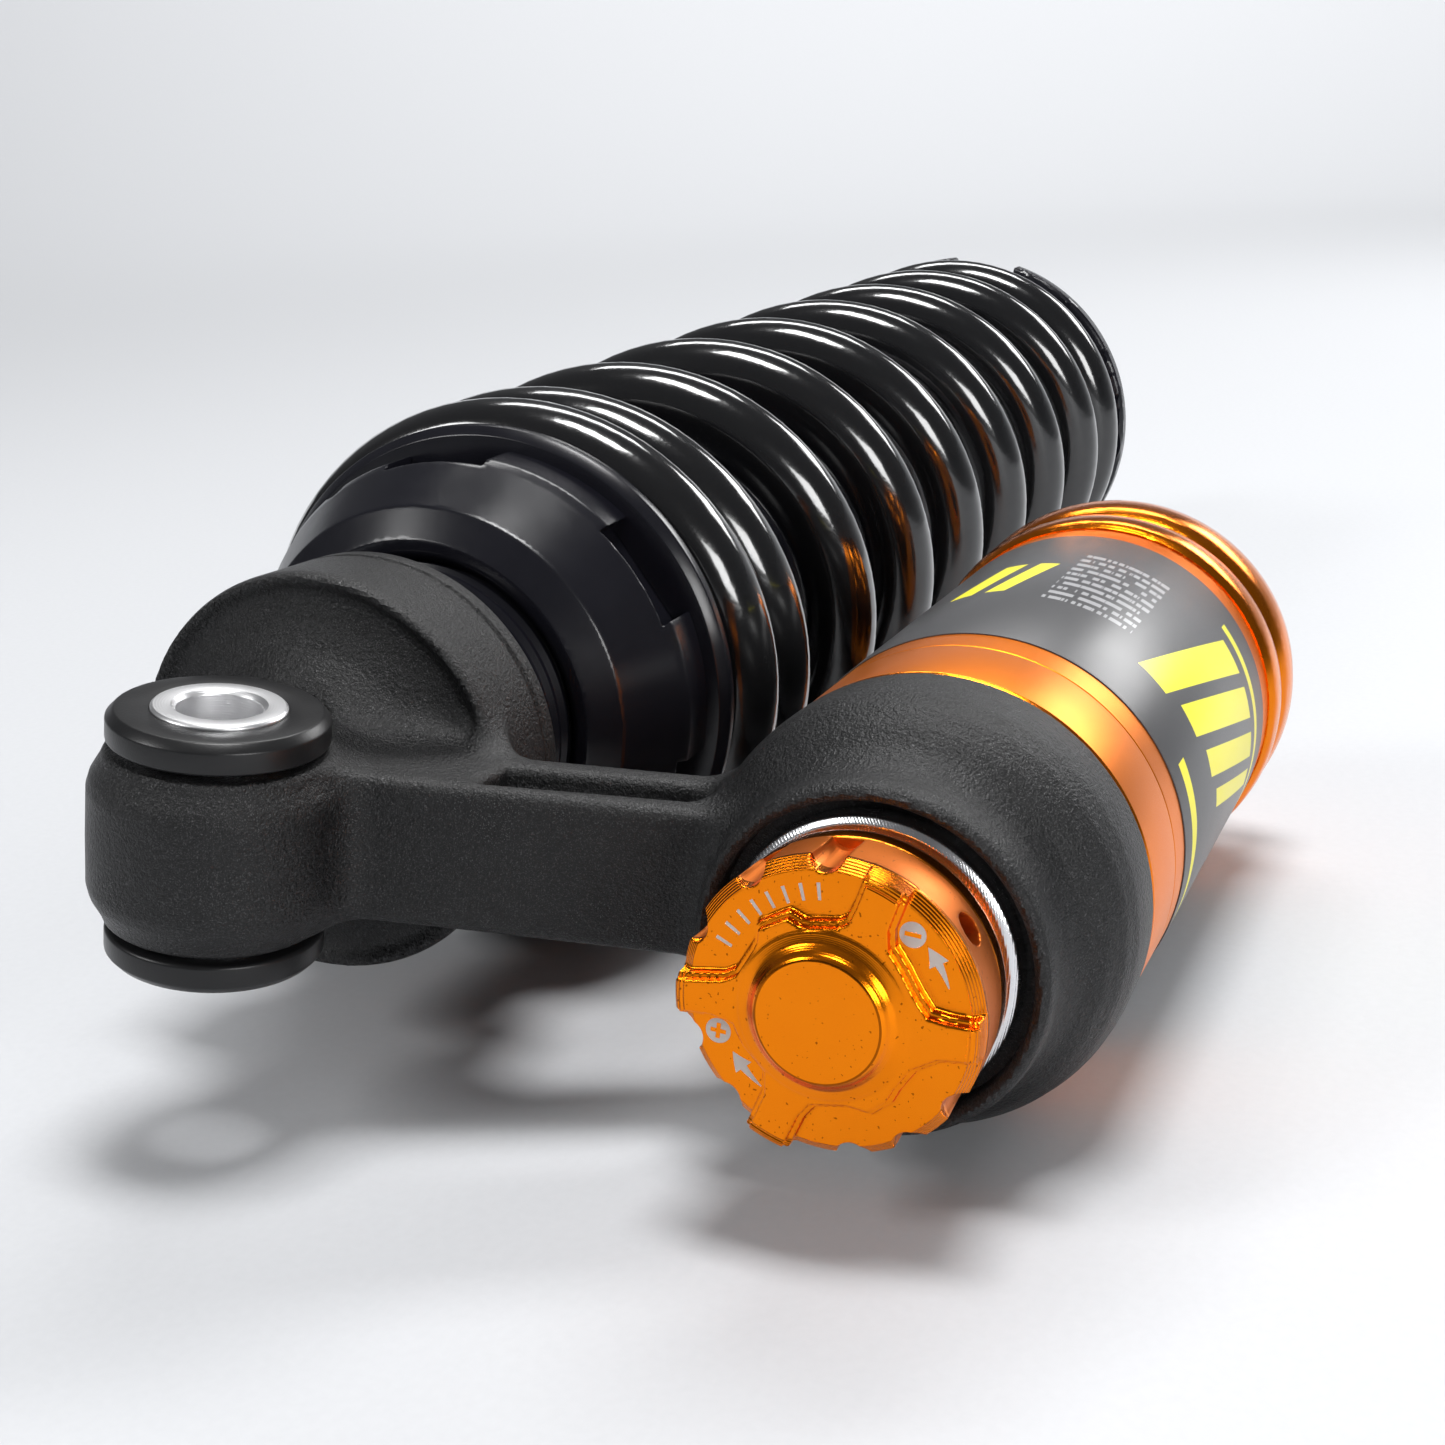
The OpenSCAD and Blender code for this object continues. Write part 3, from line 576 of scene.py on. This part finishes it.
coarse = 1.0  # larger cells while trying things
head = joined(skin(headField, (-13.5, reservoirY - 22.6, -22.4), (29.6, 22.4, 22.4), 0.5 * coarse),
              turnRound(softened(headSize["rim"], headSize["rimEdge"]), 160))
build("headCasting", *head, finishes["cast"], "damper_body", "cast", "head_casting")
print("head casting:", len(head[1]), "faces")

dialSize = dict(
    body=[(0, -4.4), (12.5, -4.4), (13.45, -3.45), (13.2, 2.1), (12.9, 2.3), (13.05, 2.7), (13.05, 4.3),
          (12.8, 4.6), (0, 4.6)],
    reach=[(0, -6.1), (12.9, -6.1), (13.4, -5.5), (13.45, -3.0), (0, -3.0)],
    boss=[(0, -7.3), (5.55, -7.3), (5.85, -7.05), (6.15, -6.65), (6.6, -6.25), (7.45, -5.95), (7.45, -3.0),
          (0, -3.0)],
    arms=[(13.9, -2.6), (13.9, 9.4), (10.8, 10.9), (9.1, 13.6), (8.35, 26.9), (8.35, 42.9), (8.7, 56),
          (10, 62.6), (13.9, 66.4), (13.9, 79.2), (10.4, 80.3), (8.8, 82.0), (8.1, 87), (7.8, 107),
          (8.0, 111.5), (8.85, 117.5), (9.0, 135.7), (8.2, 141.5), (7.95, 148), (8.1, 168), (9.2, 174.5),
          (13.9, 181), (13.9, 192.2), (10.2, 194.0), (8.3, 199.5), (8.1, 214.4), (7.9, 234.9), (9.6, 243.2),
          (13.9, 246.1), (13.9, 259.8), (10, 262.8), (8.4, 268.2), (8.1, 290.9), (9.1, 302.5), (8.9, 314.7),
          (8.45, 323), (8.5, 340.7), (10.2, 352.6)],  # radius and angle round the dial
    face=-5.9, ledge=-5.2, ledgeWidth=0.45, armEdge=0.25, ledgeFillet=0.15, reachEdge=0.2, floorFillet=0.3,
    bossFillet=0.35, stem=4.05, stemFrom=-3.2, cutEdge=0.15,
    scallops=[98, 129, 161, 205, 232, 285, 308, 333], scallopAt=13.75, scallopRadius=1.6, scallopTo=2.1,
    screwAngle=40.0, screwX=-0.5, screwHole=1.55, screwFrom=4.0)


def dialField(x, y, z):
    s = dialSize
    across = reservoirY - y
    radius = np.hypot(across, z)
    star = outline(across, z, [(r * math.cos(math.radians(a)), r * math.sin(math.radians(a)))
                               for r, a in s["arms"]])
    low = common(star - s["ledgeWidth"], slab(x, s["ledge"], 0.0), s["armEdge"])
    tall = common(star, slab(x, s["face"], 0.0), s["armEdge"])
    arms = common(meet(low, tall, s["ledgeFillet"]), outline(radius, x, s["reach"]), s["reachEdge"])
    body = meet(outline(radius, x, s["body"]), arms, s["floorFillet"])
    body = meet(body, outline(radius, x, s["boss"]), s["bossFillet"])
    tools = np.maximum(radius - s["stem"], s["stemFrom"] - x)
    for angle in s["scallops"]:
        away = awayFrom(across, z, s["scallopAt"], angle)
        tools = meet(tools, np.maximum(away - s["scallopRadius"], x - s["scallopTo"]))
    out, side = spoke(across, z, s["screwAngle"])
    tools = meet(tools, np.maximum(np.hypot(side, x - s["screwX"]) - s["screwHole"], s["screwFrom"] - out))
    return cut(body, tools, s["cutEdge"])


dial = skin(dialField, (-7.9, reservoirY - 14.2, -14.2), (5.2, reservoirY + 14.2, 14.2), 0.17 * coarse)
build("compressionDial", *dial, dialFinish, "compression_dial", "orange", "comp_knob")
print("dial:", len(dial[1]), "faces")

nutSize = dict(
    outer=[(0, 40.0), (20.0, 40.0), (23.3, 42.2), (27.1, 49.6), (27.5, 50.6), (27.5, 55.7), (0, 55.7)],
    bore=17.55, mouth=[(0, 39), (19.6, 39), (17.5, 41.2), (0, 41.2)], mouthEdge=0.2, cutEdge=0.35,
    notches=6, firstNotch=18.0, notchFrom=49.5, notchFloor=24.6, notchHalf=6.2,
    screwAngle=48.0, screwX=51.5, screwRadius=1.55, screwFrom=17.0)


def nutField(x, y, z):
    s = nutSize
    radius = np.hypot(y, z)
    tools = meet(radius - s["bore"], outline(radius, x, s["mouth"]), s["mouthEdge"])
    for i in range(s["notches"]):
        out, side = spoke(y, z, s["firstNotch"] + i * 360 / s["notches"])
        notch = np.maximum(s["notchFloor"] - out, np.abs(side) - s["notchHalf"])
        tools = meet(tools, np.maximum(notch, s["notchFrom"] - x))
    out, side = spoke(y, z, s["screwAngle"])
    screw = np.hypot(side, x - s["screwX"]) - s["screwRadius"]
    tools = meet(tools, np.maximum(screw, s["screwFrom"] - out))
    return cut(outline(radius, x, s["outer"]), tools, s["cutEdge"])


nut = skin(nutField, (39.2, -28.4, -28.4), (56.6, 28.4, 28.4), 0.42 * coarse)
build("preloadNut", *nut, finishes["black_aluminium"], "nut", "black_aluminium", "preload_nut")
print("preload nut:", len(nut[1]), "faces")

capSize = dict(
    outer=[(0, 88), (17.5, 88), (18.0, 88.5), (18.0, 96.5), (21.3, 96.5), (21.9, 97.4), (22.1, 98.6),
           (22.15, 100.0), (22.0, 101.6), (21.5, 102.8), (20.95, 103.4), (20.9, 104.2), (21.5, 104.9),
           (22.0, 105.9), (22.25, 107.4), (22.3, 109.2), (22.0, 111.4), (21.0, 113.1), (19.4, 113.9),
           (17.8, 114.0), (0, 114)],
    valveBore=4.0, well=8.0, wellFrom=106.0, inner=15.0, innerTo=97.0, cutEdge=0.3,
    holes=6, holeAt=13.5, holeRadius=1.6, holeFrom=110.0)


def capField(x, y, z):
    s = capSize
    across = y - reservoirY
    radius = np.hypot(across, z)
    tools = meet(radius - s["valveBore"], np.maximum(radius - s["well"], s["wellFrom"] - x))
    tools = meet(tools, np.maximum(radius - s["inner"], x - s["innerTo"]))
    for i in range(s["holes"]):
        away = awayFrom(across, z, s["holeAt"], i * 360 / s["holes"])
        tools = meet(tools, np.maximum(away - s["holeRadius"], s["holeFrom"] - x))
    return cut(outline(radius, x, s["outer"]), tools, s["cutEdge"])


cap = skin(capField, (87.0, reservoirY - 23.2, -23.2), (115.0, reservoirY + 23.2, 23.2), 0.65 * coarse)
build("reservoirCap", *cap, finishes["orange"], "damper_body", "orange", "reservoir_cap")

retainerStart = springEnd + 0.1
retainerEnd = float(span("lower_retainer")[1][0])
lowerSize = dict(
    seat=[(0, retainerStart), (31.0, retainerStart), (31.6, retainerStart + 0.6), (31.6, retainerStart + 3),
          (29.0, retainerEnd), (0, retainerEnd)], seatEdge=0.4,
    neck=[(0, retainerEnd), (14.5, retainerEnd), (15, retainerEnd + 0.5), (15, retainerEnd + 3),
          (9, retainerEnd + 3.4), (9, lowerEyeX - 14.5), (12, lowerEyeX - 14), (11, lowerEyeX - 4),
          (0, lowerEyeX - 4)], neckFillet=2.0, coverRadius=14.2, coverFillet=1.2, boreEdge=0.25,
    shaft=6.0, shaftTo=lowerEyeX - 14, lockX=lowerEyeX - 12.2, lockRadius=1.55)


def retainerField(x, y, z):
    s = lowerSize
    radius = np.hypot(y, z)
    tools = meet(radius - s["shaft"], np.maximum(np.abs(y) - s["shaft"], -z))  # slot to slip it off the shaft
    return cut(outline(radius, x, s["seat"]), tools, s["seatEdge"])


def lowerEyeField(x, y, z):
    s, eye = lowerSize, headSize
    radius, shift = np.hypot(y, z), x - lowerEyeX
    fromEye = np.hypot(shift, y)
    body = meet(eyeBarrel(shift, y, z), outline(radius, x, s["neck"]), s["neckFillet"])
    body = common(body, retainerEnd - x)
    body = cut(body, common(fromEye - s["coverRadius"], eye["eyeHalf"] - np.abs(z)), s["coverFillet"])
    tools = meet(fromEye - eye["bushRadius"], np.maximum(radius - s["shaft"], x - s["shaftTo"]))
    tools = meet(tools, np.maximum(np.hypot(x - s["lockX"], z) - s["lockRadius"], y))
    return cut(body, tools, s["boreEdge"])


retainer = skin(retainerField, (retainerStart - 1, -32.4, -32.4), (retainerEnd + 1, 32.4, 32.4), 0.8 * coarse)
build("lowerRetainer", *retainer, finishes["black_aluminium"], "shaft_assembly", "black_aluminium",
      "lower_retainer")
lowerEye = skin(lowerEyeField, (retainerEnd - 1, -16, -16), (lowerEyeX + 13.5, 16, 16), 0.6 * coarse)
build("lowerEye", *lowerEye, finishes["black_aluminium"], "shaft_assembly", "black_aluminium", "lower_eye")
print("cap, retainer and lower eye made")

# Outlines of (radius, height) for what sits in each eye
eyeHardware = dict(
    cover=[(7.75, 9.3), (10.1, 9.3), (10.35, 9.55), (10.35, 11.5), (9.6, 12.3), (6.38, 12.3), (6.38, 10.7),
           (7.75, 10.7)], coverEdge=0.14,
    sleeve=[(4.45, -12.7), (6.1, -12.7), (6.35, -12.45), (6.35, 12.45), (6.1, 12.7), (4.45, 12.7),
            (4.0, 12.25), (4.0, -12.25)], sleeveEdge=0.06, sides=120)
for end, eyeX in (("upper", 0.0), ("lower", lowerEyeX)):
    profile = softened(eyeHardware["sleeve"], eyeHardware["sleeveEdge"], 2)
    sleeve = turnRound(profile, eyeHardware["sides"], (eyeX, 0), "z")
    build(end + "Sleeve", *sleeve, sleeveSteel[end], end + "_hardware", "steel", end + "_sleeve")
    for side, flip in (("top", 1), ("bottom", -1)):
        profile = softened([(r, flip * a) for r, a in eyeHardware["cover"]], eyeHardware["coverEdge"], 2)
        cover = turnRound(profile, eyeHardware["sides"], (eyeX, 0), "z")
        build(end + side.capitalize() + "Cover", *cover, finishes["cover"], end + "_hardware", "cover",
              end + "_cover_" + side)

# Pieces turned round a line along X, with outlines of (radius, X)
seatStart, seatEnd = (float(corner[0]) for corner in span("spring_seat"))
turned = dict(
    springSeat=dict(node="spring_seat", body="seat", slot="black_aluminium", centreY=0, edge=0.14,
                    outline=[(17.55, seatStart), (28.9, seatStart), (29.9, seatStart + 1),
                             (29.9, seatEnd - 0.5), (29.4, seatEnd), (17.55, seatEnd)]),
    reservoirTube=dict(node="reservoir_tube", body="damper_body", slot="orange", centreY=reservoirY,
                       edge=0.14, outline=[(18, 23.5), (19.7, 23.5), (19.7, 26.75), (20.6, 26.75),
                                           (21.1, 27.4), (21.1, 37.6), (21.02, 37.68), (21.02, 37.8),
                                           (21.1, 37.88), (21.1, 96.5), (18, 96.5)]),
    labelFilm=dict(node="reservoir_label", body="damper_body", slot="label", centreY=reservoirY, edge=0.05,
                   outline=[(21.1, 42.4), (21.25, 42.4), (21.25, 92), (21.1, 92)]),
    dialBezel=dict(node="adjuster_bezel", body="damper_body", slot="steel", centreY=reservoirY, edge=0.14,
                   outline=[(11, 6), (13.0, 6), (13.6, 6.4), (13.7, 7), (13.7, 9), (11, 9)]))
for name, size in turned.items():
    shape = turnRound(softened(size["outline"], size["edge"], 2), 192, (size["centreY"], 0))
    build(name, *shape, finishes[size["slot"]], size["body"], size["slot"], size["node"])
print("eye hardware and turned pieces made")

# Spring: closed end turns with the wire touching, working turns between
coil = dict(radius=27.35, wire=4.75, pitch=26.4, working=6.5, blend=0.35, tail=0.42, sides=28, perTurn=80,
            thinner=0.995, ground=0.02)


def ramp(t):  # how many working turns lie behind t, with an eased start
    b = coil["blend"]
    return np.where(t <= 0, 0, np.where(t >= b, t - b / 2, t * np.abs(t) / (2 * b)))


def coilPath(t):  # t counts turns, and the first closed turn runs from 0 to 1
    along = springStart + coil["wire"] + 2 * coil["wire"] * t
    along = along + (coil["pitch"] - 2 * coil["wire"]) * (ramp(t - 1) - ramp(t - 1 - coil["working"]))
    turn = np.radians(90 + 360 * (t - 1))
    return np.stack([along, coil["radius"] * np.cos(turn), coil["radius"] * np.sin(turn)], -1)


def sweep(path, radius, sides):  # a round wire along a path, closed by a flat face at each end
    ahead = np.gradient(path, axis=0)
    ahead /= np.linalg.norm(ahead, axis=1)[:, None]
    out = np.stack([0 * path[:, 0], path[:, 1], path[:, 2]], -1)
    out -= (out * ahead).sum(1)[:, None] * ahead
    out /= np.linalg.norm(out, axis=1)[:, None]
    across = np.cross(ahead, out)
    turn = np.linspace(0, 2 * math.pi, sides, endpoint=False)
    ring = out[:, None] * np.cos(turn)[None, :, None] + across[:, None] * np.sin(turn)[None, :, None]
    points = (path[:, None] + ring * radius).reshape(-1, 3)
    rows = len(path)
    i, k = np.meshgrid(np.arange(rows - 1), np.arange(sides), indexing="ij")
    n = (k + 1) % sides
    faces = np.stack([i * sides + k, (i + 1) * sides + k, (i + 1) * sides + n, i * sides + n], -1)
    faces = faces.reshape(-1, 4)
    points, faces = outward(points, faces)
    flipped = faces[0][1] != sides
    ends = [list(range(sides)), list(range(rows * sides - 1, (rows - 1) * sides - 1, -1))]
    return points, faces.tolist() + [e if flipped else e for e in ends]


turns, tail = coil["working"] + 2, coil["tail"]
t = np.linspace(-tail, turns + tail, int((turns + 2 * tail) * coil["perTurn"]) + 1)
wirePoints, wireFaces = sweep(coilPath(t), coil["wire"] * coil["thinner"], coil["sides"])
wirePoints[:, 0] = np.clip(wirePoints[:, 0], springStart + coil["ground"], springEnd - coil["ground"])
spring = build("coilSpring", wirePoints, wireFaces, finishes["spring_black"], "damper_body", "spring_black",
               "spring")
strokeLength = next(j["range_m"][1] for j in frame["joints"] if j["name"] == "stroke")
1 - strokeLength / ((springEnd - springStart) * mm)
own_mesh(spring)
print("spring made, free length", round(springEnd - springStart, 1), "mm")

view = dict(place=(-0.16816, -0.11051, 0.08255), towards=(0.88966, 0.32249, -0.32328), roll=5.57,
            lens=55.81, film=36, near=0.01, far=20)
camera = bpy.data.objects.new("camera", bpy.data.cameras.new("camera"))
scene.collection.objects.link(camera)
scene.camera = camera
camera.location = view["place"]
camera.rotation_mode = "QUATERNION"
level = Vector(view["towards"]).to_track_quat("-Z", "Y")
camera.rotation_quaternion = level @ Quaternion((0, 0, 1), math.radians(view["roll"]))
camera.data.lens, camera.data.sensor_width = view["lens"], view["film"]
camera.data.clip_start, camera.data.clip_end = view["near"], view["far"]


softboxes = dict(
    overhead=dict(place=(0.02, 0.0, 0.9), aim=(0.08, -0.02, 0), size=(0.36, 0.2), power=7.5),
    left=dict(place=(-0.55, 0.6, 0.5), aim=(0.05, -0.02, 0), size=(0.25, 0.25), power=3.2),
    right=dict(place=(-0.45, -0.8, 0.4), aim=(0.05, -0.05, 0), size=(0.35, 0.3), power=4.2),
    behind=dict(place=(0.9, -0.35, 0.5), aim=(0.12, -0.03, 0), size=(0.4, 0.25), power=3),
    backdrop=dict(place=(1.7, 0.6, 1.9), aim=(2.4, 0.85, 0), size=(1.6, 1.0), power=60))
for name, box in softboxes.items():
    light = bpy.data.objects.new(name, bpy.data.lights.new(name, "AREA"))
    light.data.shape, light.data.energy = "RECTANGLE", box["power"]
    light.data.size, light.data.size_y = box["size"]
    light.location = box["place"]
    light.rotation_euler = (Vector(box["aim"]) - Vector(box["place"])).to_track_quat("-Z", "Y").to_euler()
    scene.collection.objects.link(light)

studio = dict(colour=(0.78, 0.80, 0.83, 1), strength=0.15, transform="Standard")
scene.view_settings.view_transform = studio["transform"]
world = bpy.data.worlds.new("studio")
scene.world = world
world.use_nodes = True
world.node_tree.nodes["Background"].inputs["Color"].default_value = studio["colour"]
world.node_tree.nodes["Background"].inputs["Strength"].default_value = studio["strength"]

# The shock lies on its spring and on the reservoir's cap, so the floor tilts to touch both
floorSize = dict(flat=1.6, bend=1.6, bendTo=0.95, steps=13, sides=96, gap=0.0002)  # metres and radians
floorLook = dict(colour=(0.54, 0.55, 0.57), fleck=(0.58, 0.59, 0.61), roughness=0.65, grain=1.2, depth=0.02)
springRadius, capRadius = float(span("spring")[1][2]), 22.3
tilt = math.asin((springRadius - capRadius) / -reservoirY)
dish = [(floorSize["flat"], 0)]  # (radius, height), flat and then bending up
dish += [(floorSize["flat"] + floorSize["bend"] * math.sin(a), floorSize["bend"] * (1 - math.cos(a)))
         for a in np.linspace(0, floorSize["bendTo"], floorSize["steps"])[1:]]
sides = floorSize["sides"]
floorPoints = [(r * math.cos(k * 2 * math.pi / sides), r * math.sin(k * 2 * math.pi / sides), h)
               for r, h in dish for k in range(sides)]
floorFaces = [list(range(sides))]
for i in range(len(dish) - 1):
    floorFaces += [[i * sides + k, (i + 1) * sides + k, (i + 1) * sides + (k + 1) % sides,
                    i * sides + (k + 1) % sides] for k in range(sides)]
floorMesh = bpy.data.meshes.new("floor")
floorMesh.from_pydata(floorPoints, [], floorFaces)
floorMesh.shade_smooth()
floor = bpy.data.objects.new("floor", floorMesh)
scene.collection.objects.link(floor)
floor.rotation_euler = (-tilt, 0, 0)
floor.location = (0, 0, -springRadius * mm / math.cos(tilt) - floorSize["gap"])
paper = Finish("pale_floor")
fibre = paper.noise(floorLook["grain"], 3.0)
floorMesh.materials.append(paper.done(colour=paper.mix(fibre, floorLook["colour"], floorLook["fleck"]),
                                      roughness=floorLook["roughness"],
                                      normal=paper.bump(fibre, floorLook["depth"])))
print("camera, lights and floor set")
